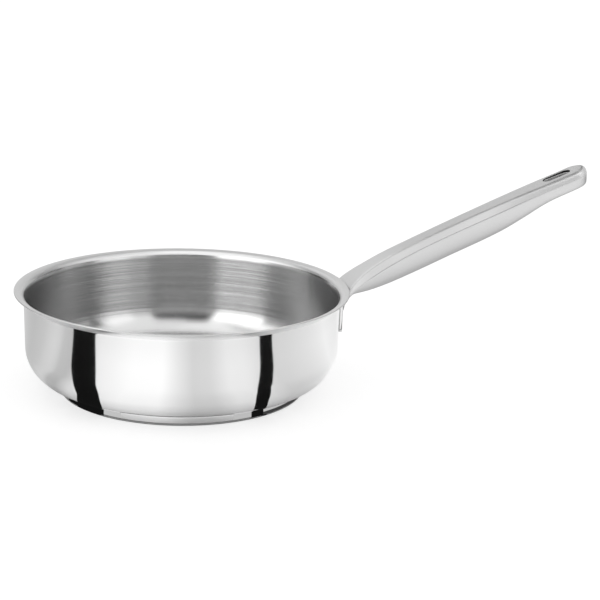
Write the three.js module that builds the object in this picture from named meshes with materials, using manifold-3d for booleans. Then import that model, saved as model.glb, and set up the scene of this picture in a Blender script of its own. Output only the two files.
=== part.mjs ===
// Saute pan: a drawn stainless shell with a pouring rim, a capsule base and a hollow pressed handle.
// Millimetres, +Z up. The origin is the centre of the base's underside and the handle runs along +X.
import * as THREE from "three";
import { mergeVertices } from "three/addons/utils/BufferGeometryUtils.js";
import Module from "manifold-3d";

const wasm = await Module();
wasm.setup();

// Drawn shell
const PAN_HEIGHT = 78.8;
const RIM_RADIUS = 128;
const SHEET = 1;
const WALL_RADIUS = 120.8;
const WALL_TAPER = 0.016;
const KNUCKLE_RADIUS = 27.4;
const FLOOR_UNDERSIDE = 8;
const FLARE_RADIUS = 6;
const FLARE_EDGE_TILT = THREE.MathUtils.degToRad(12);

// Capsule base
const CAPSULE_RADIUS = 94.6;
const CAPSULE_SHEET = 0.8;
const CAPSULE_HEIGHT = 7.5;
const CAPSULE_EDGE_RADIUS = 1.8;
const CORE_EDGE_CHAMFER = 1.2;

// Handle: distance from the pan's axis, height of the top, depth of the section, half the flat on top,
// half the width at the seam, the seam's depth below the top, and how square the section is below the seam
const HANDLE_STATIONS = [
  { x: 121, top: 67, depth: 7, flat: 19.2, half: 21, seam: 4.4, square: 3 },
  { x: 125, top: 72.4, depth: 7.2, flat: 18.2, half: 19.8, seam: 4.2, square: 3 },
  { x: 130, top: 78.4, depth: 10.1, flat: 16.6, half: 18, seam: 4.6, square: 3 },
  { x: 136, top: 84.2, depth: 13.8, flat: 14.2, half: 15.8, seam: 5.8, square: 3 },
  { x: 145, top: 91, depth: 18.7, flat: 11.6, half: 13.8, seam: 7, square: 3.2 },
  { x: 160, top: 99.9, depth: 23, flat: 9.4, half: 12, seam: 7.3, square: 3.5 },
  { x: 180, top: 109.7, depth: 24.9, flat: 7.9, half: 11.5, seam: 6.6, square: 3.6 },
  { x: 210, top: 123.2, depth: 25.2, flat: 7.5, half: 11.5, seam: 6.4, square: 3.8 },
  { x: 255, top: 142.2, depth: 23.7, flat: 8.7, half: 11.6, seam: 6.4, square: 4.5 },
  { x: 270, top: 148.4, depth: 20.7, flat: 9.4, half: 11.9, seam: 6, square: 5.5 },
  { x: 290, top: 156.4, depth: 16, flat: 10.3, half: 12.3, seam: 5.7, square: 7 },
  { x: 312, top: 165.2, depth: 14.8, flat: 10.9, half: 12.5, seam: 5.8, square: 10 },
];
const HANDLE_SHEET = 1.2;
const CREASE_ROUNDING = 1.4;
const SEAM_GAP = 0.3;

// How square the rounded tip is seen from above: 2 is a true circle, and more fills the corners
const TIP_SQUARE_TOP = 2;
const TIP_SQUARE_BELLY = 2.6;

// Hanging slot with round ends, and the collar that lines it
const SLOT_START = 289.2;
const SLOT_END = 311;
const SLOT_RADIUS = 5.5;
const SLOT_COLLAR = 1.2;

// Mount plate and its welds
const PLATE_THICKNESS = 2.6;
const PLATE_WIDTH = 50;
const PLATE_BOTTOM = 45.5;
const PLATE_TOP = 72.3;
const PLATE_CORNER_RADIUS = 4;
const WELD_RADIUS = 2.5;
const WELD_DIMPLE = 0.4;
const WELD_COUNT = 4;
const WELD_PITCH = 11.7;
const WELD_HEIGHT = 51.3;
const BEAD_LEG = 1.3;

// Clearance between pieces that are fitted to each other
const FIT_GAP = 0.3;

// Fineness of the faceted surfaces
const TURN_STEPS = 72;
const ARC_STEPS = 8;
const HANDLE_STEPS = 26;
const HANDLE_STEP_GROWTH = 1.4;
const TIP_STEPS = 8;

const MIRROR_STEEL = { color: 0xd2d5d8, roughness: 0.12, metalness: 1 };
const SATIN_STEEL = { color: 0xc4c6c8, roughness: 0.42, metalness: 1 };
const DARK_STEEL = { color: 0xa9acae, roughness: 0.35, metalness: 1 };
const WELD_STEEL = { color: 0x9a9a98, roughness: 0.5, metalness: 1 };
const ALUMINIUM = { color: 0xb8babd, roughness: 0.5, metalness: 1 };

const pan = new THREE.Group();

function addPart(name, geometry, finish) {
  const mesh = new THREE.Mesh(geometry, new THREE.MeshStandardMaterial(finish));
  mesh.name = name;
  pan.add(mesh);
}

// Points of an arc in the radius-height plane, from one angle to another
function arc(centre, radius, from, to, steps = ARC_STEPS) {
  const points = [];
  for (let i = 0; i <= steps; i += 1) {
    const angle = THREE.MathUtils.lerp(from, to, i / steps);
    points.push(new THREE.Vector2(centre.x + radius * Math.cos(angle), centre.y + radius * Math.sin(angle)));
  }
  return points;
}

// A profile in the radius-height plane turned about +Z
function turned(profile) {
  return new THREE.LatheGeometry(profile, TURN_STEPS).rotateX(Math.PI / 2);
}

function toSolid(geometry) {
  const bare = geometry.clone();
  bare.deleteAttribute("normal");
  bare.deleteAttribute("uv");
  const merged = mergeVertices(bare, 1e-4);
  const corners = merged.index.array;
  const kept = [];
  for (let i = 0; i < corners.length; i += 3) {
    const [a, b, c] = corners.slice(i, i + 3);
    if (a !== b && b !== c && c !== a) {
      kept.push(a, b, c);
    }
  }
  const mesh = new wasm.Mesh({
    numProp: 3,
    vertProperties: new Float32Array(merged.attributes.position.array),
    triVerts: new Uint32Array(kept),
  });
  return new wasm.Manifold(mesh);
}

function toGeometry(solid) {
  const mesh = solid.getMesh();
  const geometry = new THREE.BufferGeometry();
  geometry.setAttribute("position", new THREE.BufferAttribute(new Float32Array(mesh.vertProperties), 3));
  geometry.setIndex(new THREE.BufferAttribute(new Uint32Array(mesh.triVerts), 1));
  geometry.computeVertexNormals();
  return geometry;
}

// Drawn shell: floor, round knuckle, slightly flared wall and the arc of the pouring rim
const wallTilt = Math.atan(WALL_TAPER);
const edgeCentre = new THREE.Vector2(RIM_RADIUS - SHEET / 2, PAN_HEIGHT - SHEET / 2);
const flareReach = WALL_RADIUS - SHEET / 2 + FLARE_RADIUS;
const lipRun = edgeCentre.x - (flareReach - FLARE_RADIUS * Math.sin(FLARE_EDGE_TILT));
const lipRise = lipRun * Math.tan(FLARE_EDGE_TILT) + FLARE_RADIUS * Math.cos(FLARE_EDGE_TILT);
const flareHeight = edgeCentre.y - lipRise;
const flareCentre = new THREE.Vector2(flareReach, flareHeight);
const knuckleHeight = FLOOR_UNDERSIDE + KNUCKLE_RADIUS;

function wallRadiusAt(height) {
  return WALL_RADIUS - WALL_TAPER * (flareHeight - height);
}

const knuckleCentre = new THREE.Vector2(wallRadiusAt(knuckleHeight) - KNUCKLE_RADIUS, knuckleHeight);

function buildBody() {
  const flareStart = Math.PI - wallTilt;
  const flareEnd = Math.PI / 2 + FLARE_EDGE_TILT;
  const knuckleInner = KNUCKLE_RADIUS - SHEET;
  const profile = [
    new THREE.Vector2(0, FLOOR_UNDERSIDE),
    ...arc(knuckleCentre, KNUCKLE_RADIUS, -Math.PI / 2, -wallTilt),
    ...arc(flareCentre, FLARE_RADIUS - SHEET / 2, flareStart, flareEnd, 5),
    ...arc(edgeCentre, SHEET / 2, FLARE_EDGE_TILT - Math.PI / 2, FLARE_EDGE_TILT + Math.PI / 2, 4),
    ...arc(flareCentre, FLARE_RADIUS + SHEET / 2, flareEnd, flareStart, 5),
    ...arc(knuckleCentre, knuckleInner, -wallTilt, -Math.PI / 2),
    new THREE.Vector2(0, FLOOR_UNDERSIDE + SHEET),
  ];
  return turned(profile);
}

addPart("pan_body", buildBody(), MIRROR_STEEL);

// Aluminium disc between the floor and the capsule
function buildCore() {
  const radius = CAPSULE_RADIUS - CAPSULE_SHEET - FIT_GAP;
  return turned([
    new THREE.Vector2(0, CAPSULE_SHEET),
    new THREE.Vector2(radius - CORE_EDGE_CHAMFER, CAPSULE_SHEET),
    new THREE.Vector2(radius, CAPSULE_SHEET + CORE_EDGE_CHAMFER),
    new THREE.Vector2(radius, FLOOR_UNDERSIDE - CORE_EDGE_CHAMFER),
    new THREE.Vector2(knuckleCentre.x, FLOOR_UNDERSIDE),
    new THREE.Vector2(0, FLOOR_UNDERSIDE),
  ]);
}

addPart("base_core_disc", buildCore(), ALUMINIUM);

// Steel cup round the disc, with a rounded bottom edge and a plain upper edge just short of the shell
function buildCapsule() {
  const outerCorner = new THREE.Vector2(CAPSULE_RADIUS - CAPSULE_EDGE_RADIUS, CAPSULE_EDGE_RADIUS);
  return turned([
    new THREE.Vector2(0, 0),
    ...arc(outerCorner, CAPSULE_EDGE_RADIUS, -Math.PI / 2, 0, 4),
    new THREE.Vector2(CAPSULE_RADIUS, CAPSULE_HEIGHT),
    new THREE.Vector2(CAPSULE_RADIUS - CAPSULE_SHEET, CAPSULE_HEIGHT),
    ...arc(outerCorner, CAPSULE_EDGE_RADIUS - CAPSULE_SHEET, 0, -Math.PI / 2, 4),
    new THREE.Vector2(0, CAPSULE_SHEET),
  ]);
}

addPart("base_capsule", buildCapsule(), MIRROR_STEEL);

// Handle guide: the section's sizes at any distance from the pan's axis
const stationKeys = ["top", "depth", "flat", "half", "seam", "square"];
const guide = new THREE.CubicInterpolant(
  HANDLE_STATIONS.map((station) => station.x),
  HANDLE_STATIONS.flatMap((station) => stationKeys.map((key) => station[key])),
  stationKeys.length,
);
const rootX = HANDLE_STATIONS[0].x;
const tipX = HANDLE_STATIONS.at(-1).x;
const tipBack = 4;
const tipSlope = (guide.evaluate(tipX)[0] - guide.evaluate(tipX - tipBack)[0]) / tipBack;

function sectionAt(x) {
  const [top, depth, flat, half, seam, square] = guide.evaluate(x);
  return { top, depth, flat, half, seam, square };
}

// The section moved in by a distance, or out where it is negative, with heights measured along the slope
function inset(section, distance, slope) {
  const drop = distance * Math.hypot(1, slope);
  return {
    top: section.top - drop,
    depth: section.depth - 2 * drop,
    flat: section.flat - distance / 2,
    half: section.half - distance,
    seam: section.seam - drop,
    square: section.square,
  };
}

// Half of a section as offsets from the middle plane and heights:
// top flat, crease, bevel down to the seam, round belly
function halfSection({ top, depth, flat, half, seam, square }) {
  const crease = new THREE.Vector2(flat, top);
  const side = new THREE.Vector2(half, top - seam);
  const bevelStart = crease.clone().lerp(side, CREASE_ROUNDING / crease.distanceTo(side));
  const flatEnd = new THREE.Vector2(flat - CREASE_ROUNDING, top);
  const round = new THREE.QuadraticBezierCurve(flatEnd, crease, bevelStart);
  const points = [new THREE.Vector2(0, top), ...round.getPoints(3), side];
  const bellySteps = 8;
  for (let i = 1; i < bellySteps; i += 1) {
    const angle = (i / bellySteps) * (Math.PI / 2);
    const across = half * Math.cos(angle) ** (2 / square);
    const down = (depth - seam) * Math.sin(angle) ** (2 / square);
    points.push(new THREE.Vector2(across, top - seam - down));
  }
  points.push(new THREE.Vector2(0, top - depth));
  return points;
}

// A closed loft between two distances. Half sections run out along one side and back along the other,
// and a rounded end turns them about the middle of the tip.
function loft(sectionOf, from, to, steps, rounded) {
  const columns = [];
  function addSide(side) {
    for (let i = 0; i <= steps; i += 1) {
      const share = side > 0 ? i / steps : 1 - i / steps;
      const x = THREE.MathUtils.lerp(from, to, share ** HANDLE_STEP_GROWTH);
      columns.push(halfSection(sectionOf(x)).map((p) => [x, side * p.x, p.y]));
    }
  }
  addSide(1);
  const roundSteps = rounded ? TIP_STEPS : 1;
  for (let i = 1; i < roundSteps; i += 1) {
    const angle = (i / roundSteps) * Math.PI;
    const section = sectionOf(to);
    columns.push(halfSection(section).map((p) => {
      const share = (section.top - p.y) / section.depth;
      const power = 2 / THREE.MathUtils.lerp(TIP_SQUARE_TOP, TIP_SQUARE_BELLY, share);
      const ahead = p.x * Math.sin(angle) ** power;
      const across = p.x * Math.sign(Math.cos(angle)) * Math.abs(Math.cos(angle)) ** power;
      return [to + ahead, across, p.y + tipSlope * ahead];
    }));
  }
  addSide(-1);
  const rows = columns[0].length;
  const positions = columns.flat(2);
  const indices = [];
  for (let j = 0; j < columns.length; j += 1) {
    const next = (j + 1) % columns.length;
    for (let i = 0; i + 1 < rows; i += 1) {
      const a = j * rows + i;
      const b = next * rows + i;
      indices.push(a, b + 1, a + 1, a, b, b + 1);
    }
  }
  const geometry = new THREE.BufferGeometry();
  geometry.setAttribute("position", new THREE.Float32BufferAttribute(positions, 3));
  geometry.setIndex(indices);
  return toSolid(geometry);
}

function slopeAt(x) {
  const step = 1;
  const ahead = Math.min(x + step, tipX);
  const behind = Math.max(x - step, rootX);
  return (sectionAt(ahead).top - sectionAt(behind).top) / (ahead - behind);
}

// Everything above or below the seam line, moved off it by half the gap
function seamSide(sign) {
  const steps = 40;
  const pastTip = 20;
  const reach = 80;
  const line = [];
  for (let i = 0; i <= steps; i += 1) {
    const x = THREE.MathUtils.lerp(rootX, tipX, i / steps);
    const { top, seam } = sectionAt(x);
    line.push(new THREE.Vector2(x, top - seam + (sign * SEAM_GAP) / 2));
  }
  const end = line.at(-1);
  line.push(new THREE.Vector2(end.x + pastTip, end.y + tipSlope * pastTip));
  const far = line.at(-1);
  const start = line[0];
  const outline = new THREE.Shape([
    ...line,
    new THREE.Vector2(far.x, far.y + sign * reach),
    new THREE.Vector2(start.x, start.y + sign * reach),
  ]);
  const block = new THREE.ExtrudeGeometry(outline, { depth: reach, bevelEnabled: false });
  return toSolid(block.rotateX(Math.PI / 2).translate(0, reach / 2, 0));
}

// Prism of the hanging slot, widened by a distance, square to the slope of the tip
function slotPrism(widen) {
  const slope = Math.atan(tipSlope);
  const length = (SLOT_END - SLOT_START) / Math.cos(slope);
  const endCentre = length / 2 - SLOT_RADIUS;
  const radius = SLOT_RADIUS + widen;
  const outline = new THREE.Shape();
  outline.absarc(endCentre, 0, radius, -Math.PI / 2, Math.PI / 2, false);
  outline.absarc(-endCentre, 0, radius, Math.PI / 2, 1.5 * Math.PI, false);
  const height = 60;
  const middle = (SLOT_START + SLOT_END) / 2;
  const prism = new THREE.ExtrudeGeometry(outline, { depth: height, bevelEnabled: false, curveSegments: 7 });
  prism.translate(0, 0, -height / 2).rotateY(-slope).translate(middle, 0, sectionAt(middle).top);
  return toSolid(prism);
}

// Face of the mount plate, as a turned solid with a distance added
const plateInner = FIT_GAP;
const plateOuter = FIT_GAP + PLATE_THICKNESS;

function wallDisc(added) {
  const below = PLATE_BOTTOM - 10;
  const above = PLATE_TOP + 15;
  return toSolid(turned([
    new THREE.Vector2(0, below),
    new THREE.Vector2(wallRadiusAt(below) + added, below),
    new THREE.Vector2(wallRadiusAt(above) + added, above),
    new THREE.Vector2(0, above),
  ]));
}

// Hollow handle: outer form less inner form, collar round the slot, parted along the seam
function buildHandle() {
  const outer = loft(sectionAt, rootX, tipX, HANDLE_STEPS, true);
  const inner = loft((x) => inset(sectionAt(x), HANDLE_SHEET, slopeAt(x)), rootX, tipX, HANDLE_STEPS, true);
  const collar = slotPrism(SLOT_COLLAR).intersect(outer);
  const hollow = outer.subtract(inner).add(collar).subtract(slotPrism(0));
  const fitted = hollow.subtract(wallDisc(plateOuter + FIT_GAP));
  return { upper: fitted.intersect(seamSide(1)), lower: fitted.intersect(seamSide(-1)) };
}

const handle = buildHandle();
addPart("handle_upper_shell", toGeometry(handle.upper), SATIN_STEEL);
addPart("handle_lower_shell", toGeometry(handle.lower), SATIN_STEEL);

// Mount plate: a band of the wall's own curve cut to a rounded outline, with a hole for each weld
const weldAngles = Array.from({ length: WELD_COUNT }, (_, index) => {
  const across = (index - (WELD_COUNT - 1) / 2) * WELD_PITCH;
  return across / WALL_RADIUS;
});

function weldPeg(angle, radius) {
  const length = 30;
  const peg = new THREE.CylinderGeometry(radius, radius, length, 16).rotateZ(Math.PI / 2);
  peg.translate(WALL_RADIUS, 0, 0).rotateZ(angle).translate(0, 0, WELD_HEIGHT);
  return toSolid(peg);
}

function buildPlate() {
  const half = PLATE_WIDTH / 2;
  const corner = PLATE_CORNER_RADIUS;
  const outline = new THREE.Shape();
  outline.moveTo(-half, PLATE_TOP);
  outline.lineTo(-half, PLATE_BOTTOM + corner);
  outline.absarc(corner - half, PLATE_BOTTOM + corner, corner, Math.PI, 1.5 * Math.PI, false);
  outline.absarc(half - corner, PLATE_BOTTOM + corner, corner, 1.5 * Math.PI, 2 * Math.PI, false);
  outline.lineTo(half, PLATE_TOP);
  const depth = 60;
  const prism = new THREE.ExtrudeGeometry(outline, { depth, bevelEnabled: false, curveSegments: 6 });
  prism.rotateX(Math.PI / 2).rotateZ(Math.PI / 2).translate(WALL_RADIUS - depth / 2, 0, 0);
  const band = wallDisc(plateOuter).subtract(wallDisc(plateInner));
  const pegs = weldAngles.map((angle) => weldPeg(angle, WELD_RADIUS + FIT_GAP));
  return pegs.reduce((plate, peg) => plate.subtract(peg), band.intersect(toSolid(prism)));
}

addPart("handle_mount_plate", toGeometry(buildPlate()), DARK_STEEL);

// Weld nuggets through the plate, a little below its face
const nuggetBand = wallDisc(plateOuter - WELD_DIMPLE).subtract(wallDisc(plateInner));
weldAngles.forEach((angle, index) => {
  const nugget = weldPeg(angle, WELD_RADIUS).intersect(nuggetBand);
  addPart(`spot_weld_${index + 1}`, toGeometry(nugget), WELD_STEEL);
});

// Weld bead round the neck where it meets the plate
function buildBead() {
  const beadEnd = WALL_RADIUS + plateOuter + FIT_GAP + BEAD_LEG;
  const beadToe = 0.1;
  const legAt = (x) => FIT_GAP + Math.max(beadToe, beadEnd - x);
  const around = loft((x) => inset(sectionAt(x), -legAt(x), slopeAt(x)), rootX, beadEnd, 4, false);
  const neck = loft((x) => inset(sectionAt(x), -FIT_GAP, slopeAt(x)), rootX, beadEnd + 2, 6, false);
  return around.subtract(neck).subtract(wallDisc(plateOuter + FIT_GAP));
}

addPart("neck_weld_bead", toGeometry(buildBead()), WELD_STEEL);

export default pan;
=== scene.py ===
import math

import bpy
from mathutils import Euler, Matrix, Vector


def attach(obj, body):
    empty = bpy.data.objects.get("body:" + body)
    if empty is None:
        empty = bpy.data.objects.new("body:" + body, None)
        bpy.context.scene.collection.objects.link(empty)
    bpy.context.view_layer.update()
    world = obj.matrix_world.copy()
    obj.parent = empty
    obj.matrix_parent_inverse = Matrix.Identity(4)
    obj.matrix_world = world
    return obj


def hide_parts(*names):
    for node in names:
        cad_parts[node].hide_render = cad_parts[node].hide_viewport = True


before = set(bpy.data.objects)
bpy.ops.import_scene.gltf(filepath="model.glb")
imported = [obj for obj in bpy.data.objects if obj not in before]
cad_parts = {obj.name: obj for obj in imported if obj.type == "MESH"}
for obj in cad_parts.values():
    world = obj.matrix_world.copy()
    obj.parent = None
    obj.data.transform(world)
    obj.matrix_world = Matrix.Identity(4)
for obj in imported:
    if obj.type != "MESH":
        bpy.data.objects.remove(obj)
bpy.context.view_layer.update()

# Pan body
# One disc of stainless sheet, drawn into a shell with a round knuckle, a nearly upright wall and a rim that
# flares outwards so that it pours from anywhere. It is buffed bright outside and brushed in rings inside.
mm = 0.001
sheet = 1.0
rim_radius, rim_height = 128.0, 78.8
wall_radius, wall_taper = 120.8, 0.016
knuckle_radius, floor_underside = 27.4, 8.0
flare_radius, flare_edge_tilt = 6.0, math.radians(12)
underside_rings = (60.0, 88.0)
wall_tilt = math.atan(wall_taper)
edge_centre = (rim_radius - sheet / 2, rim_height - sheet / 2)
flare_reach = wall_radius - sheet / 2 + flare_radius
lip_run = edge_centre[0] - flare_reach + flare_radius * math.sin(flare_edge_tilt)
lip_rise = lip_run * math.tan(flare_edge_tilt) + flare_radius * math.cos(flare_edge_tilt)
flare_centre = (flare_reach, edge_centre[1] - lip_rise)
knuckle_height = floor_underside + knuckle_radius


def wall_radius_at(height):
    """The wall's outer radius at a height. It leans out a little towards the rim."""
    return wall_radius - wall_taper * (flare_centre[1] - height)


knuckle_centre = (wall_radius_at(knuckle_height) - knuckle_radius, knuckle_height)


def arc(centre, radius, start, end, steps):
    """Points along an arc between two angles."""
    angles = [start + (end - start) * i / steps for i in range(steps + 1)]
    return [(centre[0] + radius * math.cos(a), centre[1] + radius * math.sin(a)) for a in angles]


def straight(start, end, steps):
    """Points on a straight line between two ends, without the ends."""
    shares = [i / steps for i in range(1, steps)]
    return [tuple(a + (b - a) * s for a, b in zip(start, end)) for s in shares]


def spun(name, outline, steps=192):
    """A line drawn point by point in the XZ plane, in millimetres, then spun about the pan's axis."""
    bpy.ops.object.select_all(action="DESELECT")
    bpy.ops.mesh.primitive_plane_add(size=mm, enter_editmode=True)
    bpy.ops.mesh.merge(type="CENTER")
    bpy.ops.transform.translate(value=(outline[0][0] * mm, 0, outline[0][1] * mm))
    for (r0, z0), (r1, z1) in zip(outline, outline[1:]):
        step = ((r1 - r0) * mm, 0, (z1 - z0) * mm)
        bpy.ops.mesh.extrude_vertices_move(TRANSFORM_OT_translate={"value": step})
    bpy.ops.mesh.select_all(action="SELECT")
    bpy.ops.mesh.spin(steps=steps, angle=math.tau, center=(0, 0, 0), axis=(0, 0, 1))
    bpy.ops.mesh.select_all(action="SELECT")
    bpy.ops.mesh.remove_doubles(threshold=1e-6)
    bpy.ops.mesh.normals_make_consistent(inside=False)
    bpy.ops.object.mode_set(mode="OBJECT")
    piece = bpy.context.object
    piece.name = piece.data.name = name
    bpy.ops.object.shade_smooth_by_angle(angle=math.radians(40))
    return piece


flare_start, flare_end = math.pi - wall_tilt, math.pi / 2 + flare_edge_tilt
outer_knuckle = arc(knuckle_centre, knuckle_radius, -math.pi / 2, -wall_tilt, 44)
outer_flare = arc(flare_centre, flare_radius - sheet / 2, flare_start, flare_end, 20)
edge = arc(edge_centre, sheet / 2, flare_edge_tilt - math.pi / 2, flare_edge_tilt + math.pi / 2, 10)
inner_flare = arc(flare_centre, flare_radius + sheet / 2, flare_end, flare_start, 24)
inner_knuckle = arc(knuckle_centre, knuckle_radius - sheet, -wall_tilt, -math.pi / 2, 44)
floor_top = floor_underside + sheet
body_outline = [
    (0, floor_underside),
    *((radius, floor_underside) for radius in underside_rings),
    *outer_knuckle,
    *straight(outer_knuckle[-1], outer_flare[0], 12),
    *outer_flare,
    *edge,
    *inner_flare,
    *straight(inner_flare[-1], inner_knuckle[0], 12),
    *inner_knuckle,
    *straight(inner_knuckle[-1], (0, floor_top), 10),
    (0, floor_top),
]
pan_body = spun("pan_shell", body_outline)


def lin(colour):
    """An sRGB hex colour as linear red, green, blue and alpha."""
    parts = [int(colour[i:i + 2], 16) / 255 for i in (0, 2, 4)]
    return (*(c / 12.92 if c <= 0.04045 else ((c + 0.055) / 1.055) ** 2.4 for c in parts), 1)


def node(tree, kind, values={}, stops=(), **settings):
    """Adds a node, sets its settings or a ramp's grey stops, and sets or links inputs by name or number."""
    new = tree.nodes.new(kind)
    for name, value in settings.items():
        setattr(new, name, value)
    for place, _ in stops[1:-1]:
        new.color_ramp.elements.new(place)
    for number, (_, grey) in enumerate(stops):
        new.color_ramp.elements[number].color = (grey, grey, grey, 1)
    for name, value in values.items():
        if isinstance(value, bpy.types.NodeSocket):
            tree.links.new(value, new.inputs[name])
        else:
            new.inputs[name].default_value = value
    return new


def new_material(name):
    """A new material and its empty tree of nodes."""
    material = bpy.data.materials.new(name)
    material.use_nodes = True
    material.node_tree.nodes.clear()
    return material, material.node_tree


def ring_lines(tree, spacing, persistence):
    """Noise in rings about the pan's axis: fine across the lines, and slow along them."""
    place = node(tree, "ShaderNodeTexCoord").outputs["Object"]
    parts = node(tree, "ShaderNodeSeparateXYZ", {0: place}).outputs
    level = node(tree, "ShaderNodeCombineXYZ", {0: parts[0], 1: parts[1]}).outputs[0]
    radius = node(tree, "ShaderNodeVectorMath", {0: level}, operation="LENGTH").outputs["Value"]
    bearing = node(tree, "ShaderNodeVectorMath", {0: level}, operation="NORMALIZE").outputs[0]
    slow = {0: bearing, "Scale": persistence}
    along = node(tree, "ShaderNodeVectorMath", slow, operation="SCALE").outputs[0]
    across = node(tree, "ShaderNodeMath", {0: radius, 1: parts[2]}, operation="ADD").outputs[0]
    fine = node(tree, "ShaderNodeMath", {0: across, 1: 1 / (spacing * mm)}, operation="MULTIPLY").outputs[0]
    lift = node(tree, "ShaderNodeCombineXYZ", {2: fine}).outputs[0]
    rings = node(tree, "ShaderNodeVectorMath", {0: along, 1: lift}, operation="ADD").outputs[0]
    return node(tree, "ShaderNodeTexNoise", {"Vector": rings, "Scale": 1.0, "Detail": 3.0}).outputs["Fac"]


# Buffed stainless steel: cloth wheels leave a mirror with the faintest rings, so reflections stay sharp.
# The rings are a few hundredths of a millimetre apart and are drawn at 1.6 mm so that they show.
buffed_steel, tree = new_material("buffed_stainless_steel")
lines = ring_lines(tree, spacing=1.6, persistence=2.5)
gloss = node(tree, "ShaderNodeMapRange", {"Value": lines, "To Min": 0.045, "To Max": 0.085}).outputs[0]
swirl = node(tree, "ShaderNodeBump", {"Height": lines, "Strength": 1.0, "Distance": 0.0008 * mm}).outputs[0]
shader = node(tree, "ShaderNodeBsdfPrincipled", {
    "Base Color": lin("d0d0d0"), "Metallic": 1.0, "Roughness": gloss, "Normal": swirl,
})
node(tree, "ShaderNodeOutputMaterial", {"Surface": shader.outputs[0]})

# Brushed stainless steel: an abrasive wheel leaves rings of fine scratches, which smear every reflection
# across the rings and keep it crisp along them. Each scratch leans the surface its own way, most on the wall.
# Scratches of 0.05 mm are drawn at 0.08 mm so that they show.
brushed_steel, tree = new_material("ring_brushed_stainless_steel")
lines = ring_lines(tree, spacing=0.08, persistence=0.6)
lean = node(tree, "ShaderNodeMapRange", {"Value": lines, "To Min": -0.9, "To Max": 0.9}).outputs[0]
ring_way = node(tree, "ShaderNodeTangent", direction_type="RADIAL", axis="Z").outputs[0]
facing = node(tree, "ShaderNodeNewGeometry").outputs["Normal"]
across = node(tree, "ShaderNodeVectorMath", {0: facing, 1: ring_way}, operation="CROSS_PRODUCT").outputs[0]
place = node(tree, "ShaderNodeTexCoord").outputs["Object"]
height = node(tree, "ShaderNodeSeparateXYZ", {0: place}).outputs[2]
# The scratches lean least on the floor, most on the wall, and less again towards the rim.
rim_calm = node(tree, "ShaderNodeMapRange", {
    "Value": height, "From Min": 70 * mm, "From Max": 74 * mm, "To Min": 1.0, "To Max": 0.35,
}).outputs[0]
calm = node(tree, "ShaderNodeMapRange", {
    "Value": height, "From Min": 25 * mm, "From Max": 37 * mm, "To Min": 0.18, "To Max": rim_calm,
}).outputs[0]
gloss = node(tree, "ShaderNodeMapRange", {
    "Value": height, "From Min": 22 * mm, "From Max": 34 * mm, "To Min": 0.2, "To Max": 0.27,
}).outputs[0]
tilt = node(tree, "ShaderNodeMath", {0: lean, 1: calm}, operation="MULTIPLY").outputs[0]
shift = node(tree, "ShaderNodeVectorMath", {0: across, "Scale": tilt}, operation="SCALE").outputs[0]
leaning = node(tree, "ShaderNodeVectorMath", {0: facing, 1: shift}, operation="ADD").outputs[0]
scratched = node(tree, "ShaderNodeVectorMath", {0: leaning}, operation="NORMALIZE").outputs[0]
shader = node(tree, "ShaderNodeBsdfPrincipled", {
    "Base Color": lin("c1c1c1"), "Metallic": 1.0, "Roughness": gloss, "Normal": scratched,
    "Anisotropic": 0.9, "Anisotropic Rotation": 0.25, "Tangent": ring_way,
})
node(tree, "ShaderNodeOutputMaterial", {"Surface": shader.outputs[0]})

# Soft buffed stainless steel: on the rim and under it the wheel only skims the metal, so reflections blur.
soft_steel, tree = new_material("soft_buffed_stainless_steel")
lines = ring_lines(tree, spacing=1.2, persistence=2.5)
gloss = node(tree, "ShaderNodeMapRange", {"Value": lines, "To Min": 0.34, "To Max": 0.42}).outputs[0]
shader = node(tree, "ShaderNodeBsdfPrincipled", {
    "Base Color": lin("d0d0d0"), "Metallic": 1.0, "Roughness": gloss,
})
node(tree, "ShaderNodeOutputMaterial", {"Surface": shader.outputs[0]})

for material in (buffed_steel, brushed_steel, soft_steel):
    pan_body.data.materials.append(material)
# The rim is soft and the inside brushed, and all the rest stays buffed.
brushed, soft = 1, 2
soft_from, soft_facing_up = 72.6, 0.5
brushed_from, brushed_facing_up = floor_underside + sheet / 2, 0.1
for face in pan_body.data.polygons:
    at, facing = face.center, face.normal
    outward = facing.x * at.x + facing.y * at.y > 0
    on_rim = at.z > flare_centre[1] * mm and facing.z > soft_facing_up
    under_rim = outward and at.z > soft_from * mm
    if on_rim or under_rim:
        face.material_index = soft
    elif facing.z > brushed_facing_up or not outward and at.z > brushed_from * mm:
        face.material_index = brushed
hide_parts("pan_body")
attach(pan_body, "root")

# Core disc of the base
# A plate of plain aluminium bonded under the floor, which spreads the heat of the hob. The capsule encloses
# it, so it stays as the frame gives it and only gets its metal.
# Rolled aluminium: the mill's rolls leave faint lines in a soft pale sheen, drawn 0.6 mm wide to show.
aluminium, tree = new_material("rolled_aluminium_plate")
line_length, line_width = 20 * mm, 0.6 * mm
place = node(tree, "ShaderNodeTexCoord").outputs["Object"]
line_scale = (1 / line_length, 1 / line_width, 1)
rolled = node(tree, "ShaderNodeMapping", {"Vector": place, "Scale": line_scale}).outputs[0]
grain = node(tree, "ShaderNodeTexNoise", {"Vector": rolled, "Scale": 1.0, "Detail": 2.0}).outputs["Fac"]
gloss = node(tree, "ShaderNodeMapRange", {"Value": grain, "To Min": 0.38, "To Max": 0.52}).outputs[0]
shader = node(tree, "ShaderNodeBsdfPrincipled", {
    "Base Color": lin("dadada"), "Metallic": 1.0, "Roughness": gloss,
})
node(tree, "ShaderNodeOutputMaterial", {"Surface": shader.outputs[0]})
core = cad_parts["base_core_disc"]
core.data.materials.clear()
core.data.materials.append(aluminium)

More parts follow.
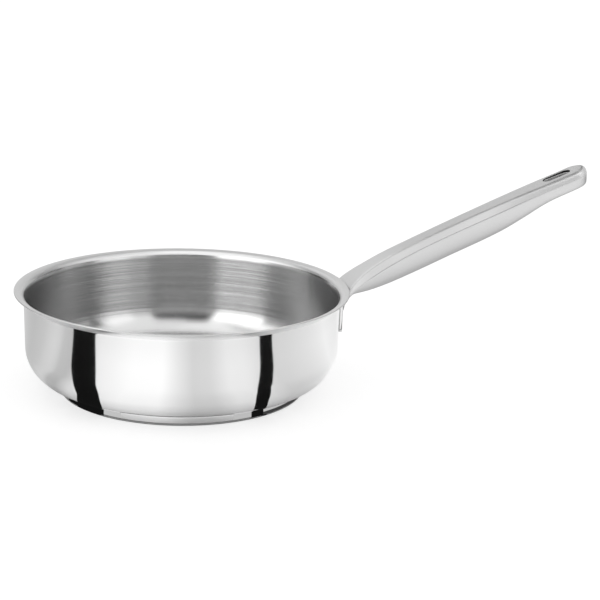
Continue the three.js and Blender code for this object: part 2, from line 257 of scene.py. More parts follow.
# Capsule of the base
# A thin cup of magnetic steel pressed round the core disc. Its side is buffed with the shell, its upper edge
# is rolled in against the shell, and its underside is turned flat in fine rings to stand on the hob.
capsule_radius, capsule_sheet = 94.6, 0.8
capsule_height, capsule_edge = 7.5, 1.8
rolled_edge, edge_return, edge_drop = 0.9, 0.25, 0.3
low_corner = (capsule_radius - capsule_edge, capsule_edge)
top_corner = (capsule_radius - rolled_edge, capsule_height - rolled_edge)
capsule_outline = [
    (0, 0),
    *straight((0, 0), (low_corner[0], 0), 8),
    *arc(low_corner, capsule_edge, -math.pi / 2, 0, 10),
    *straight((capsule_radius, capsule_edge), (capsule_radius, top_corner[1]), 4),
    *arc(top_corner, rolled_edge, 0, math.pi / 2, 8),
    (capsule_radius - capsule_sheet - edge_return, capsule_height - edge_drop),
    *arc(low_corner, capsule_edge - capsule_sheet, 0, -math.pi / 2, 6),
    (0, capsule_sheet),
]
capsule = spun("base_cup", capsule_outline)

# Turned stainless steel: the tool leaves even rings about 0.3 mm apart, drawn at 1.2 mm so that they show.
turned_steel, tree = new_material("turned_stainless_steel")
lines = ring_lines(tree, spacing=1.2, persistence=1.0)
gloss = node(tree, "ShaderNodeMapRange", {"Value": lines, "To Min": 0.22, "To Max": 0.36}).outputs[0]
groove = node(tree, "ShaderNodeBump", {"Height": lines, "Strength": 1.0, "Distance": 0.03 * mm}).outputs[0]
ring_way = node(tree, "ShaderNodeTangent", direction_type="RADIAL", axis="Z").outputs[0]
shader = node(tree, "ShaderNodeBsdfPrincipled", {
    "Base Color": lin("c3c3c3"), "Metallic": 1.0, "Roughness": gloss, "Normal": groove,
    "Anisotropic": 0.8, "Anisotropic Rotation": 0.25, "Tangent": ring_way,
})
node(tree, "ShaderNodeOutputMaterial", {"Surface": shader.outputs[0]})

turned, underside_facing = 1, -0.95
capsule.data.materials.append(buffed_steel)
capsule.data.materials.append(turned_steel)
for face in capsule.data.polygons:
    if face.normal.z < underside_facing:
        face.material_index = turned
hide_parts("base_capsule")
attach(capsule, "root")

# Mount plate
# A strip of thicker stainless, rolled to the curve of the wall and spot welded to it under the rim. Its
# lower corners are rounded, its edges are broken, its face is satin like the handle and its ends are buffed.
plate_gap, plate_thickness = 0.3, 2.6
plate_half, plate_bottom, plate_top = 25.0, 45.5, 72.3
plate_corner, plate_edge = 4.0, 0.45


def laid(name, rows):
    """A grid whose points are laid along rows of places in millimetres, with the meeting edges merged."""
    bpy.ops.object.select_all(action="DESELECT")
    bpy.ops.mesh.primitive_grid_add(x_subdivisions=len(rows[0]) - 1, y_subdivisions=len(rows) - 1, size=1)
    piece = bpy.context.object
    piece.name = piece.data.name = name
    places = [co * mm for row in rows for point in row for co in point]
    piece.data.vertices.foreach_set("co", places)
    bpy.ops.object.mode_set(mode="EDIT")
    bpy.ops.mesh.select_all(action="SELECT")
    bpy.ops.mesh.remove_doubles(threshold=2e-6)
    bpy.ops.mesh.normals_make_consistent(inside=False)
    bpy.ops.object.mode_set(mode="OBJECT")
    return piece


def pick_only(piece):
    """Selects one piece alone and makes it the active one."""
    bpy.ops.object.select_all(action="DESELECT")
    piece.select_set(True)
    bpy.context.view_layer.objects.active = piece


def use_modifier(piece, kind, **settings):
    """Adds a modifier with its settings to a piece and applies it."""
    pick_only(piece)
    modifier = piece.modifiers.new(kind.title(), kind)
    for name, value in settings.items():
        setattr(modifier, name, value)
    bpy.ops.object.modifier_apply(modifier=modifier.name)


def on_plate(across, height, out):
    """A place on the plate: across along the wall's curve, at a height, and out from the wall."""
    radius = wall_radius_at(height) + plate_gap + out
    angle = across / wall_radius
    return (radius * math.cos(angle), radius * math.sin(angle), height)


def pick_edges(piece, wanted):
    """Selects, in edit mode, the edges whose two ends satisfy a test."""
    for element in (*piece.data.vertices, *piece.data.edges, *piece.data.polygons):
        element.select = False
    points = piece.data.vertices
    for line in piece.data.edges:
        line.select = wanted(*(points[i].co / mm for i in line.vertices))
    pick_only(piece)
    bpy.ops.object.mode_set(mode="EDIT")
    bpy.ops.mesh.select_mode(type="EDGE")


def plate_rows(out, rises=12, runs=40):
    """Rows of places over the whole plate, all as far out from the wall."""
    heights = [plate_bottom + (plate_top - plate_bottom) * i / rises for i in range(rises + 1)]
    places = [-plate_half + 2 * plate_half * i / runs for i in range(runs + 1)]
    return [[on_plate(across, height, out) for across in places] for height in heights]


plate = laid("handle_plate", plate_rows(plate_thickness))
if plate.data.polygons[0].normal.x < 0:
    plate.data.flip_normals()
use_modifier(plate, "SOLIDIFY", thickness=plate_thickness * mm, offset=-1)
hair = 0.01
end_from, through_from = 0.93 * plate_half, plate_thickness - 0.05


def plate_corner_edge(a, b):
    """Whether an edge runs through the plate's thickness at one of its lower corners."""
    low = max(a.z, b.z) < plate_bottom + hair
    at_end = min(abs(a.y), abs(b.y)) > end_from
    return low and at_end and (a - b).length > through_from


pick_edges(plate, plate_corner_edge)
bpy.ops.mesh.bevel(offset=plate_corner * mm, segments=8, affect="EDGES")
bpy.ops.object.mode_set(mode="OBJECT")
sharp = math.radians(50)
use_modifier(plate, "BEVEL", width=plate_edge * mm, segments=3, limit_method="ANGLE", angle_limit=sharp)

# Satin stainless steel: blasted with fine beads and lightly brushed, so that it has a soft, even sheen. Its
# pits of 0.05 mm are drawn at 0.5 mm so that they show, with broader clouds of a few millimetres.
satin_steel, tree = new_material("bead_blasted_satin_stainless_steel")
pit, cloud = 0.5 * mm, 9 * mm
place = node(tree, "ShaderNodeTexCoord").outputs["Object"]
pits = node(tree, "ShaderNodeTexNoise", {"Vector": place, "Scale": 1 / pit, "Detail": 2.0}).outputs["Fac"]
clouds = node(tree, "ShaderNodeTexNoise", {"Vector": place, "Scale": 1 / cloud, "Detail": 3.0}).outputs["Fac"]
gloss = node(tree, "ShaderNodeMapRange", {"Value": clouds, "To Min": 0.33, "To Max": 0.43}).outputs[0]
grain = node(tree, "ShaderNodeBump", {"Height": pits, "Strength": 1.0, "Distance": 0.008 * mm}).outputs[0]
shader = node(tree, "ShaderNodeBsdfPrincipled", {
    "Base Color": lin("cccccc"), "Metallic": 1.0, "Roughness": gloss, "Normal": grain,
})
node(tree, "ShaderNodeOutputMaterial", {"Surface": shader.outputs[0]})
plate.data.materials.append(satin_steel)
plate.data.materials.append(buffed_steel)
buffed, end_facing = 1, 0.8
for face in plate.data.polygons:
    if abs(face.normal.y) > end_facing:
        face.material_index = buffed

# Spot welds
# Four nuggets where the plate was fused to the wall by electrodes. Each electrode leaves a shallow round
# dish in the plate, a little duller than the satin round it.
weld_dish, weld_height = 0.4, 51.3
weld_pitch, weld_count = 11.7, 4
hole_radius, hole_below, hole_above = 2.8, 6.0, 2.0
nugget_length = 2.4
hole_profile = [(0, -hole_below), (hole_radius, -hole_below), (hole_radius, hole_above), (0, hole_above)]
nugget_profile = [
    (0, -weld_dish), (0.9, -0.37), (1.7, -0.27), (2.2, -0.13), (2.5, -0.03), (hole_radius, 0.0),
    (hole_radius, -nugget_length), (0, -nugget_length),
]


def round_piece(name, profile, steps=32):
    """A round plug in the middle of the plate: distances from its axis and out from the plate's face."""
    middle = Vector(on_plate(0, weld_height, plate_thickness))
    rows = []
    for i in range(steps + 1):
        turn = math.tau * i / steps
        row = []
        for radius, out in profile:
            row.append((middle.x + out, radius * math.cos(turn), middle.z + radius * math.sin(turn)))
        rows.append(row)
    return laid(name, rows)


def copy_along(piece, across):
    """A copy of a piece with its own mesh, turned about the pan's axis to a place along the plate."""
    copy = piece.copy()
    copy.data = piece.data.copy()
    copy.data.transform(Matrix.Rotation(across / wall_radius, 4, "Z"))
    bpy.context.collection.objects.link(copy)
    return copy


weld_places = [(i - (weld_count - 1) / 2) * weld_pitch for i in range(weld_count)]
hole = round_piece("weld_hole", hole_profile)
for across in weld_places:
    cutter = copy_along(hole, across)
    use_modifier(plate, "BOOLEAN", operation="DIFFERENCE", object=cutter, solver="EXACT")
    bpy.data.objects.remove(cutter)
bpy.data.objects.remove(hole)
pick_only(plate)
bpy.ops.object.shade_smooth_by_angle(angle=math.radians(35))
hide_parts("handle_mount_plate")
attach(plate, "root")

# Fused steel: the electrode's face leaves it smooth but slightly mottled and tinted by the heat.
weld_steel, tree = new_material("fused_stainless_steel")
spot = 0.8 * mm
place = node(tree, "ShaderNodeTexCoord").outputs["Object"]
mottle = node(tree, "ShaderNodeTexNoise", {"Vector": place, "Scale": 1 / spot, "Detail": 3.0}).outputs["Fac"]
heat_tints = {0: mottle, 6: lin("b4b4b3"), 7: lin("bdb8b0")}
tint = node(tree, "ShaderNodeMix", heat_tints, data_type="RGBA").outputs[2]
gloss = node(tree, "ShaderNodeMapRange", {"Value": mottle, "To Min": 0.3, "To Max": 0.5}).outputs[0]
ripple = node(tree, "ShaderNodeBump", {"Height": mottle, "Strength": 1.0, "Distance": 0.02 * mm}).outputs[0]
shader = node(tree, "ShaderNodeBsdfPrincipled", {
    "Base Color": tint, "Metallic": 1.0, "Roughness": gloss, "Normal": ripple,
})
node(tree, "ShaderNodeOutputMaterial", {"Surface": shader.outputs[0]})

first_nugget = round_piece("weld_nugget", nugget_profile)
first_nugget.data.materials.append(weld_steel)
bpy.ops.object.shade_smooth_by_angle(angle=math.radians(35))
for number, across in enumerate(weld_places, 1):
    nugget = copy_along(first_nugget, across)
    nugget.name = nugget.data.name = f"weld_nugget_{number}"
    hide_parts(f"spot_weld_{number}")
    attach(nugget, "root")
bpy.data.objects.remove(first_nugget)

# Lower shell of the handle
# The deep half of the hollow handle, pressed from stainless sheet and blasted satin. It carries the belly
# that fills the hand, and meets the upper half in a fine seam that runs all round.
# Distance from the axis, height of the top, depth, half the flat, half the width, seam's drop, squareness
handle_sizes = [
    (121, 67.0, 7.0, 19.2, 21.0, 4.4, 3.0),
    (125, 73.6, 8.0, 18.2, 19.8, 4.2, 3.0),
    (130, 79.4, 8.8, 16.6, 18.0, 4.6, 3.0),
    (136, 84.7, 13.4, 14.2, 15.8, 5.8, 3.0),
    (145, 91.0, 18.4, 11.6, 13.8, 7.0, 3.2),
    (160, 99.9, 23.0, 9.4, 12.0, 7.3, 3.5),
    (180, 109.7, 24.9, 7.9, 11.5, 6.6, 3.6),
    (210, 123.2, 25.2, 7.5, 11.5, 6.4, 3.8),
    (255, 142.2, 23.7, 8.7, 11.6, 6.4, 4.5),
    (270, 148.4, 20.7, 9.4, 11.9, 6.0, 5.5),
    (290, 156.4, 16.0, 10.3, 12.3, 5.7, 7.0),
    (312, 165.2, 14.8, 10.9, 12.5, 5.8, 10.0),
]
handle_sheet = 1.2
# The creases soften where the section gets squarer, towards the tip. The spreads draw the places closer
# together by the seam and by the foot.
crease_round, tip_crease_round = 1.8, 2.6
tip_square_from, tip_square_range = 4.2, 4.0
groove_most, belly_spread, length_spread = 0.3, 1.1, 1.25
root_x, tip_x, tip_slope = 121.0, 312.0, 0.4
tip_square_top, tip_square_belly = 2.0, 2.6


def handle_size_at(x):
    """The handle's sizes at a distance from the axis, on a smooth curve through the given ones."""
    last = len(handle_sizes) - 1
    i = next((k for k in range(1, last) if x <= handle_sizes[k][0]), last)
    start, end = handle_sizes[i - 1], handle_sizes[i]
    before = handle_sizes[i - 2] if i > 1 else end
    after = handle_sizes[i + 1] if i < last else start
    half_step = (end[0] - start[0]) / 2
    back = half_step / (start[0] - before[0])
    fore = half_step / (after[0] - end[0])
    t = (x - start[0]) / (end[0] - start[0])
    of_before = -back * t ** 3 + 2 * back * t ** 2 - back * t
    of_start = (1 + back) * t ** 3 + (-1.5 - 2 * back) * t ** 2 + (-0.5 + back) * t + 1
    of_end = (-1 - fore) * t ** 3 + (1.5 + fore) * t ** 2 + 0.5 * t
    of_after = fore * t ** 3 - fore * t ** 2
    return [
        of_before * before[k] + of_start * start[k] + of_end * end[k] + of_after * after[k]
        for k in range(1, len(start))
    ]


def inset(sizes, distance, slope):
    """The section's sizes moved in by a distance, or out where it is negative."""
    top, depth, flat, half, seam, square = sizes
    drop = distance * math.hypot(1, slope)
    return top - drop, depth - 2 * drop, flat - distance / 2, half - distance, seam - drop, square


def upper_line(sizes, groove, steps=8):
    """Middle of the top, out over the flat and the crease, and down the bevel to just above the seam."""
    top, _, flat, half, seam, square = sizes
    length = math.hypot(half - flat, seam)
    along = ((half - flat) / length, -seam / length)
    tip_share = min(max((square - tip_square_from) / tip_square_range, 0), 1)
    rounding = crease_round + tip_crease_round * tip_share
    start, turn = (flat - rounding, top), (flat, top)
    end = (flat + along[0] * rounding, top + along[1] * rounding)
    points = [(0, top), (0.5 * start[0], top)]
    for t in (i / steps for i in range(steps + 1)):
        bend = ((1 - t) ** 2, 2 * t * (1 - t), t * t)
        points.append(tuple(bend[0] * s + bend[1] * m + bend[2] * e for s, m, e in zip(start, turn, end)))
    stop = (half - along[0] * groove, top - seam - along[1] * groove)
    return points + straight(end, stop, 5) + [stop]


def lower_line(sizes, groove, steps=26):
    """From just below the seam, round the belly, to its middle."""
    top, depth, _, half, seam, square = sizes
    groove = min(groove, groove_most * (depth - seam))
    points = []
    for i in range(steps + 1):
        angle = math.pi / 2 * (i / steps) ** belly_spread
        across = half * max(math.cos(angle), 0) ** (2 / square)
        down = (depth - seam) * math.sin(angle) ** (2 / square)
        if down >= groove:
            points.append((across, top - seam - down))
    low = points[0]
    fill = steps + 1 - len(points)
    first = (half, top - seam - groove)
    return [first] + straight(first, low, fill + 1) + points


def slope_at(x):
    """Slope of the handle's top at a distance from the axis."""
    ahead, behind = min(x + 1, tip_x), max(x - 1, root_x)
    return (handle_size_at(ahead)[0] - handle_size_at(behind)[0]) / (ahead - behind)


def lofted(name, half_section, steps=64, tip_steps=24):
    """Half sections laid out along one side of the handle, round its tip and back along the other side."""
    places = [root_x + (tip_x - root_x) * (i / steps) ** length_spread for i in range(steps + 1)]
    rows = [[(x, across, height) for across, height in half_section(x)] for x in places]
    tip_top, tip_depth = handle_size_at(tip_x)[:2]
    for i in range(1, tip_steps):
        turn = math.pi * i / tip_steps
        row = []
        for across, height in half_section(tip_x):
            share = (tip_top - height) / tip_depth
            power = 2 / (tip_square_top + (tip_square_belly - tip_square_top) * share)
            ahead = across * math.sin(turn) ** power
            aside = across * math.copysign(abs(math.cos(turn)) ** power, math.cos(turn))
            row.append((tip_x + ahead, aside, height + tip_slope * ahead))
        rows.append(row)
    for x in reversed(places):
        rows.append([(x, -across, height) for across, height in half_section(x)])
    piece = laid(name, rows)
    pick_edges(piece, lambda a, b: max(a.x, b.x) < root_x + hair)
    bpy.ops.mesh.edge_face_add()
    bpy.ops.mesh.select_all(action="SELECT")
    bpy.ops.mesh.normals_make_consistent(inside=False)
    bpy.ops.object.mode_set(mode="OBJECT")
    return piece


seam_opens, seam_opening = 136, 16
seam_closes, seam_closing = 282, 20
flush_gap, open_gap = 0.01, 0.03
flush_rounding, open_rounding = 0.06, 0.24
lip_round, lip_flat, lip_end = 0.3, 0.5, 1.15
lower_inner_groove, upper_inner_groove = 0.9, 0.6


def seam_at(x):
    """Half the seam's gap and the rounding of its edges: it was ground flush at the foot and at the tip."""
    opened = min(max((x - seam_opens) / seam_opening, 0), 1)
    closed = min(max((seam_closes - x) / seam_closing, 0), 1)
    open_share = opened * closed
    return flush_gap + open_gap * open_share, flush_rounding + open_rounding * open_share


def seam_lip(x, way):
    """A shell's edge at the seam, from its outer corner inwards: above the seam for 1, below it for -1."""
    sizes = handle_size_at(x)
    gap, rounding = seam_at(x)
    half, level = sizes[3], sizes[0] - sizes[4] + way * gap
    corner = (half - lip_round * rounding, level + way * lip_round * rounding)
    return [corner, (half - lip_flat, level), (half - lip_end, level)]


def lower_section(x):
    """The lower shell's inside from its middle to the seam, then its outside back to the middle."""
    sizes = handle_size_at(x)
    inner = inset(sizes, handle_sheet, slope_at(x))
    outside = lower_line(sizes, sum(seam_at(x)))
    return lower_line(inner, lower_inner_groove)[::-1] + seam_lip(x, -1)[::-1] + outside


lower_shell = lofted("handle_lower_half", lower_section)

# Upper shell of the handle
# The shallow half: a flat top between two bevels that run from the wide foot on the plate to the rounded
# tip. It is pressed and blasted like the lower half.


def upper_section(x):
    """The upper shell's outside from its middle to the seam, then its inside back to the middle."""
    sizes = handle_size_at(x)
    inner = inset(sizes, handle_sheet, slope_at(x))
    outside = upper_line(sizes, sum(seam_at(x)))
    return outside + seam_lip(x, 1) + upper_line(inner, upper_inner_groove)[::-1]


upper_shell = lofted("handle_upper_half", upper_section)

# Hanging slot
# A slot with round ends through both halves of the tip. It is lined with a drawn collar, whose rolled upper
# edge stands just under the cut edge of the top, so that a fine dark gap runs all round below that edge.
slot_start, slot_end, slot_radius = 289.2, 311.0, 5.5
lining_step, lining_sheet, lining_roll = 0.3, 0.9, 0.5
lining_top, lining_tilt, edge_sheet = 1.6, 0.04, 0.5
lining_foot, lining_lip, roll_steps = 1.4, 0.4, 6
cut_low, cut_high, gap_reach = -40, 10, 1.8
slope_angle = math.atan(tip_slope)
slot_length = (slot_end - slot_start) / math.cos(slope_angle)
slot_centre = slot_length / 2 - slot_radius
slot_middle = (slot_start + slot_end) / 2
slot_top = handle_size_at(slot_middle)[0]


def slot_outline(widen):
    """The slot's outline on the slope of the tip, widened by a distance, without its closing point."""
    quarter = math.pi / 2
    far = arc((slot_centre, 0), slot_radius + widen, -quarter, quarter, 24)
    near = arc((-slot_centre, 0), slot_radius + widen, quarter, 3 * quarter, 24)
    return far + straight(far[-1], near[0], 6) + near + straight(near[-1], far[0], 6)


def on_slope(along, across, up):
    """A place on the tip: along the slope, across it, and up square to it."""
    x = slot_middle + along * math.cos(slope_angle) - up * math.sin(slope_angle)
    return (x, across, slot_top + along * math.sin(slope_angle) + up * math.cos(slope_angle))


def belly_below(along, deepest=30.0, halvings=30):
    """How far the underside lies below the top, square to the slope, at a place along it."""
    low, high = 0.0, deepest
    for _ in range(halvings):
        depth = (low + high) / 2
        x, _, z = on_slope(along, 0, -depth)
        sizes = handle_size_at(min(x, tip_x))
        bottom = sizes[0] - sizes[1] + max(x - tip_x, 0) * tip_slope
        low, high = (depth, high) if z > bottom else (low, depth)
    return depth


def cut_slot(shell, widen, low, high):
    """Cuts a prism of the slot's outline out of a shell, between two levels square to the slope."""
    rows = [[on_slope(along, across, up) for up in (low, high)] for along, across in slot_outline(widen)]
    cutter = laid("slot_hole", rows + rows[:1])
    pick_edges(cutter, lambda a, b: False)
    bpy.ops.mesh.select_mode(type="VERT")
    bpy.ops.mesh.select_non_manifold()
    bpy.ops.mesh.edge_face_add()
    bpy.ops.mesh.select_all(action="SELECT")
    bpy.ops.mesh.normals_make_consistent(inside=False)
    bpy.ops.object.mode_set(mode="OBJECT")
    use_modifier(shell, "BOOLEAN", operation="DIFFERENCE", object=cutter, solver="EXACT")
    bpy.data.objects.remove(cutter)


cut_slot(upper_shell, 0, cut_low, cut_high)
cut_slot(upper_shell, gap_reach, cut_low, -edge_sheet)
cut_slot(lower_shell, lining_roll - lining_step, cut_low, cut_high)
for shell, node_name in ((lower_shell, "handle_lower_shell"), (upper_shell, "handle_upper_shell")):
    shell.data.materials.append(satin_steel)
    pick_only(shell)
    bpy.ops.object.shade_smooth_by_angle(angle=math.radians(32))
    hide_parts(node_name)
    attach(shell, "root")

roll = [(lining_roll * (1 - math.sin(t)), lining_roll * (1 - math.cos(t)))
        for t in (math.pi / 2 * i / roll_steps for i in range(roll_steps + 1))]
roll_outlines = [slot_outline(widen - lining_step) for widen, _ in roll]
lining_rows = []
for i, (back_along, back_across) in enumerate(slot_outline(lining_sheet - lining_step)):
    front = [(*outline[i], drop) for outline, (_, drop) in zip(roll_outlines, roll)]
    row = [on_slope(along, across, -lining_top - lining_tilt * along - drop) for along, across, drop in front]
    row += [on_slope(along, across, drop - belly_below(along)) for along, across, drop in front[::-1]]
    row.append(on_slope(back_along, back_across, lining_foot - belly_below(back_along)))
    row.append(on_slope(back_along, back_across, -lining_top - lining_tilt * back_along - lining_lip))
    row.append(row[0])
    lining_rows.append(row)
lining = laid("slot_collar", lining_rows + lining_rows[:1])
lining.data.materials.append(satin_steel)
bpy.ops.object.shade_smooth_by_angle(angle=math.radians(50))
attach(lining, "root")

# Weld bead of the neck
# A small fillet of weld metal that joins the foot of the handle to the plate all round. It is dressed smooth
# and blasted together with the handle, so that it has the same satin.
bead_leg, bead_start, bead_gap, bead_steps = 1.3, 122.4, 0.3, 8
bead_hollow, bead_skin, bead_lap, bead_groove = 1.6, 0.05, 0.35, 0.2
bead_end = wall_radius + plate_gap + plate_thickness + bead_gap + bead_leg


def bead_ring(share, out):
    """A line round the handle at a share of the bead's length, moved out from the handle's surface."""
    x = bead_start + (bead_end - bead_start) * share
    sizes = inset(handle_size_at(x), -out, slope_at(x))
    half = upper_line(sizes, bead_groove) + lower_line(sizes, bead_groove)
    return [(x, a, h) for a, h in half] + [(x, -a, h) for a, h in half[::-1]]


shares = [step / bead_steps for step in range(bead_steps + 1)]
bead_rows = [bead_ring(share, bead_leg * (1 - share) ** bead_hollow + bead_skin) for share in shares]
bead_rows += [bead_ring(share, -bead_lap) for share in shares[::-1]]
bead = laid("neck_bead", bead_rows + bead_rows[:1])
bead.data.materials.append(satin_steel)
bpy.ops.object.shade_smooth_by_angle(angle=math.radians(45))
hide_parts("neck_weld_bead")
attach(bead, "root")

# Studio
# A pale table and white surroundings, with soft boxes at both sides of the camera, two black strips on the
# table, black flags and a dark gap round the camera, which a buffed pan mirrors as its bands.
# It stands square to the camera, which is turned from the pan's own axes.
view_turn = math.radians(-14)
glow_reach = 1500.0
black = 0.01


def stage_card(shape, turn):
    """Hides a mesh from all rays but reflections, and turns it about the pan's axis."""
    shape.rotation_euler.z = turn
    shape.visible_camera = False
    shape.visible_diffuse = False
    shape.visible_shadow = False
    shape.visible_transmission = False


def card(name, shape, glow, axis=2, turn=view_turn):
    """A glowing card of the studio. Its glow is one level, or places and levels along one axis."""
    material, tree = new_material(name)
    if isinstance(glow, list):
        place = node(tree, "ShaderNodeTexCoord").outputs["Object"]
        along = node(tree, "ShaderNodeSeparateXYZ", {0: place}).outputs[axis]
        scaled = {0: along, 1: 1 / (glow_reach * mm)}
        share = node(tree, "ShaderNodeMath", scaled, operation="MULTIPLY").outputs[0]
        stops = [(at / glow_reach, grey) for at, grey in glow]
        colour = node(tree, "ShaderNodeValToRGB", {"Fac": share}, stops).outputs[0]
    else:
        colour = (glow, glow, glow, 1)
    light = node(tree, "ShaderNodeEmission", {"Color": colour, "Strength": 1.0})
    node(tree, "ShaderNodeOutputMaterial", {"Surface": light.outputs[0]})
    shape.data.materials.append(material)
    shape.name = shape.data.name = name
    stage_card(shape, turn)


def smooth(points, steps=6):
    """A smooth line through points."""
    ends = [points[0], *points, points[-1]]
    line = []
    for a, b, c, d in zip(ends, ends[1:], ends[2:], ends[3:]):
        for t in (i / steps for i in range(steps)):
            line.append(tuple(
                q + t * (r - p + t * (2 * p - 5 * q + 4 * r - s + t * (3 * q - p - 3 * r + s))) / 2
                for p, q, r, s in zip(a, b, c, d)
            ))
    return line + [points[-1]]


def strip(left_edge, right_edge, height=0.8):
    """A level strip just above the table, between two smooth lines."""
    return laid("strip", [[(x, y, height) for x, y in smooth(edge)] for edge in (left_edge, right_edge)])


card("left_strip", strip([
    (-332, -153), (-277, -136), (-219, -118), (-191, -112), (-154, -108), (-98, -92), (-81, -80), (-74, -59),
], [
    (-284, -245), (-231, -211), (-175, -178), (-150, -163), (-105, -135), (-74, -113), (-57, -92), (-54, -73),
]), black)
card("right_strip", strip([
    (283, -230), (239, -202), (190, -170), (163, -157), (135, -144), (88, -112), (70, -95), (61, -81),
], [
    (310, -184), (265, -164), (207, -137), (179, -128.5), (133, -114.5), (91, -93), (76, -81), (67, -63),
]), black)


def upright(bearing_from, bearing_to, low, high, distance=900.0, steps=12):
    """Part of an upright cylinder round the pan, between two bearings from the camera's side, in degrees."""
    rows = []
    for i in range(steps + 1):
        bearing = math.radians(bearing_from + (bearing_to - bearing_from) * i / steps)
        x, y = distance * math.sin(bearing), -distance * math.cos(bearing)
        rows.append([(x, y, low), (x, y, high)])
    return laid("upright", rows)


def level_sheet(left, right, near, far, height):
    """A level sheet over the pan."""
    return laid("level", [[(x, y, height) for x in (left, right)] for y in (near, far)])


def disc(name, radii, height, steps):
    """A level disc or ring about the pan's axis, through the given radii."""
    bearings = [math.tau * i / steps for i in range(steps + 1)]
    return laid(name, [[(r * math.sin(a), r * math.cos(a), height) for r in radii] for a in bearings])


# Cards close to the base, seen only in its reflection: a painted reflection of the table round the foot,
# black where the strips run down it, with painted shade in the low dark bands. Each has two bearings, two
# heights and a glow
base_reflection_distance = 96.0
painted_base_reflections = [
    (-61, -33.4, 0.3, 7.2, black),
    (-33.4, -24, 1.8, 7.2, 0.85),
    (-33.4, 37.4, 0.3, 1.8, 0.3),
    (28, 37.4, 1.8, 7.2, 0.8),
    (37.4, 44.4, 0.3, 7.2, black),
    (44.4, 85, 0.3, 3.4, 0.08),
    (44.4, 85, 3.4, 7.2, 0.8),
]
for number, (*place, glow) in enumerate(painted_base_reflections, 1):
    card(f"base_card_{number}", upright(*place, distance=base_reflection_distance), glow)

# Boxes, flags and sheets round and over the pan, some with a glow graded by height
left_glow = [(0, 1.15), (240, 1.2), (400, 2.8), (1150, 2.8), (1300, 1.2), (1500, 1.1)]
right_glow = [(0, 1.35), (430, 1.45), (580, 1.9), (1150, 1.9), (1300, 1.2), (1500, 1.1)]
right_dark = [(0, 0.8), (250, 0.8), (330, 0.02), (760, 0.02), (900, 1.1), (1500, 1.1)]
right_back_dark = [(0, 0.9), (250, 0.9), (330, 0.02), (1150, 0.02), (1300, 0.15), (1500, 0.3)]
left_dark = [(0, 0.65), (600, 0.65), (720, 2.0), (1250, 2.0), (1400, 1.2), (1500, 1.0)]
gap_dark = [(0, 0.01), (84, 0.05), (97, 0.8), (138, 0.8), (185, 0.01), (600, 0.01), (1500, 0.01)]
side_glow = [(0, 0.88), (520, 0.9), (760, 1.5), (1200, 1.5), (1500, 1.4)]
card("left_box", upright(-69, -22, 30, 1500), left_glow)
card("right_box", upright(50, 82, 30, 1500), right_glow)
card("middle_box", upright(-22, 25, 30, 1500), 1.1)
card("middle_box_side", upright(25, 50, 30, 1500), side_glow)
card("right_flag", upright(82, 118, 90, 1500), right_dark)
card("right_flag_back", upright(118, 156, 90, 1500), right_back_dark)
card("left_flag", upright(-112, -69, 90, 1500), left_dark)
card("left_flag_back", upright(-140, -112, 90, 1700), 0.05)
card("back_card", upright(156, 200, 60, 1200), 0.86)
card("camera_gap", laid("gap", [[(x, -160, z) for x in (-98, 128)] for z in (82, 500)]), gap_dark)
card("top_box", level_sheet(-200, 30, -300, 340, 550), 1.6)
card("ceiling", disc("ceiling", (0, 800), 1800, 32), 0.3)
card("near_top_box", level_sheet(-5, 108, -32, 180, 220), 1.4)
card("back_shade", level_sheet(-55, 45, 250, 700, 500), 0.4)

# A card under the handle, which grades its side from light to dark by the distance in front of it, and small
# ones by its tip
handle_glow = [(0, 0.4), (4, 0.66), (18, 0.75), (24, 0.92), (46, 1.0), (56, 1.18), (330, 1.18), (1500, 1.18)]
under_start, under_height = 150, 66
under_ends = [(x, under_height + tip_slope * (x - under_start)) for x in (135, 420)]
under_rows = [[(-x, reach, height) for x, height in under_ends] for reach in (-40, 330)]
card("handle_card", laid("under_handle", under_rows), handle_glow, axis=1, turn=math.pi)
tip_end = laid("tip_end", [[(385, y, z) for y in (-55, 120)] for z in (150, 310)])
card("tip_end_card", tip_end, 0.9, turn=0)
tip_side = laid("tip_side", [[(x, -105, z) for x in (255, 400)] for z in (170, 250)])
card("tip_side_card", tip_side, 0.75, turn=0)

# Pools of light on the table round the pan, by bearing from the camera's side in degrees
pools = [
    (-90, 0.12), (-84, 0.22), (-78, 0.28), (-74, 0.24), (-70, 0.08), (-62, 0.05), (-51, 0.47), (-43, 0.61),
    (-33, 0.72), (-23, 0.84), (-6, 0.86), (2, 0.55), (10, 0.3), (19, 0.34), (29, 0.59), (38, 0.58),
    (45, 0.48), (58, 0.3), (66, 0.33), (83, 0.45), (105, 0.63), (126, 0.39), (180, 0.2), (225, 0),
    (255, 0), (270, 0.12),
]
pool_radii, pool_height = (96, 200, 420), 0.5
pool_fade = [(0, 0), (0.235, 0.45), (0.3, 0.95), (0.62, 1), (1, 0.7)]
ring = disc("light_pools", pool_radii, pool_height, 64)
material, tree = new_material("light_pools")
place = node(tree, "ShaderNodeTexCoord").outputs["Object"]
bearing = node(tree, "ShaderNodeTexGradient", {0: place}, gradient_type="RADIAL").outputs["Fac"]
reach = node(tree, "ShaderNodeVectorMath", {0: place}, operation="LENGTH").outputs["Value"]
scaled = {0: reach, 1: 1 / (pool_radii[-1] * mm)}
share = node(tree, "ShaderNodeMath", scaled, operation="MULTIPLY").outputs[0]
pool_stops = [((degrees - pools[0][0]) / 360, grey) for degrees, grey in pools]
light = node(tree, "ShaderNodeEmission", {
    "Color": node(tree, "ShaderNodeValToRGB", {"Fac": bearing}, pool_stops).outputs[0],
    "Strength": node(tree, "ShaderNodeValToRGB", {"Fac": share}, pool_fade).outputs[0],
})
clear = node(tree, "ShaderNodeBsdfTransparent")
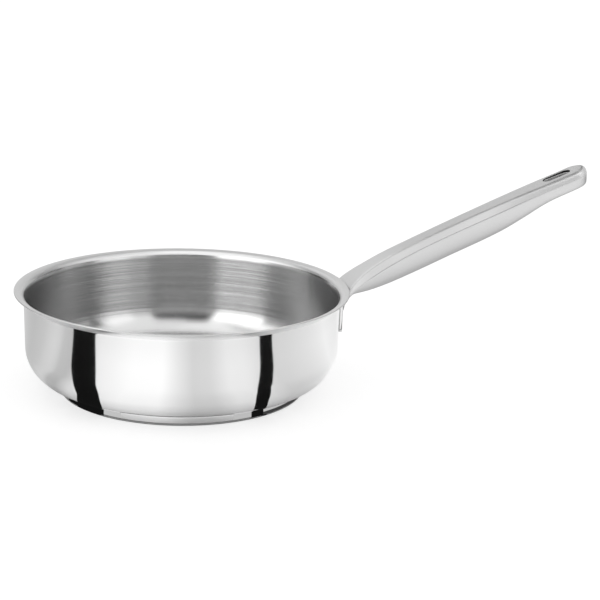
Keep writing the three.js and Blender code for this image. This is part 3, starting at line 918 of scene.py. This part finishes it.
shader = node(tree, "ShaderNodeAddShader", {0: light.outputs[0], 1: clear.outputs[0]})
node(tree, "ShaderNodeOutputMaterial", {"Surface": shader.outputs[0]})
ring.data.materials.append(material)
stage_card(ring, view_turn)

# A matt table, which glows a little for the camera so that only the pan's shadow shows on it
bpy.ops.object.select_all(action="DESELECT")
table_size, table_drop = 12, 0.1 * mm
bpy.ops.mesh.primitive_plane_add(size=table_size, location=(0, 0, -table_drop))
table = bpy.context.object
table.name = table.data.name = "table"
pale, tree = new_material("pale_table")
seen = node(tree, "ShaderNodeLightPath").outputs["Is Camera Ray"]
matt = node(tree, "ShaderNodeBsdfDiffuse", {"Color": lin("e2e2e2")})
faint = node(tree, "ShaderNodeBsdfDiffuse", {"Color": lin("a0a0a0")})
glow = node(tree, "ShaderNodeEmission", {"Color": lin("ffffff"), "Strength": 0.72})
white = node(tree, "ShaderNodeAddShader", {0: faint.outputs[0], 1: glow.outputs[0]})
surface = node(tree, "ShaderNodeMixShader", {0: seen, 1: matt.outputs[0], 2: white.outputs[0]})
node(tree, "ShaderNodeOutputMaterial", {"Surface": surface.outputs[0]})
table.data.materials.append(pale)

world = bpy.data.worlds.new("white_surroundings")
world.use_nodes = True
world.node_tree.nodes.clear()
sky = node(world.node_tree, "ShaderNodeBackground", {"Color": lin("ffffff"), "Strength": 1.0})
node(world.node_tree, "ShaderNodeOutputWorld", {"Surface": sky.outputs[0]})
bpy.context.scene.world = world

# Camera
# A long lens in front of the pan, slightly above it and a little turned, as the picture was taken.
camera_data = bpy.data.cameras.new("camera")
camera_data.lens = 96
camera_data.sensor_width = 36
camera = bpy.data.objects.new("camera", camera_data)
bpy.context.scene.collection.objects.link(camera)
camera_place = Vector((-199.41, -1171.31, 396.85)) * mm
camera_tilt, camera_roll, camera_turn = 74.6388, -1.6023, -13.5599
camera_angles = Euler(math.radians(angle) for angle in (camera_tilt, camera_roll, camera_turn))
camera.matrix_world = Matrix.LocRotScale(camera_place, camera_angles, None)
bpy.context.scene.camera = camera
bpy.context.scene.view_settings.view_transform = "Standard"
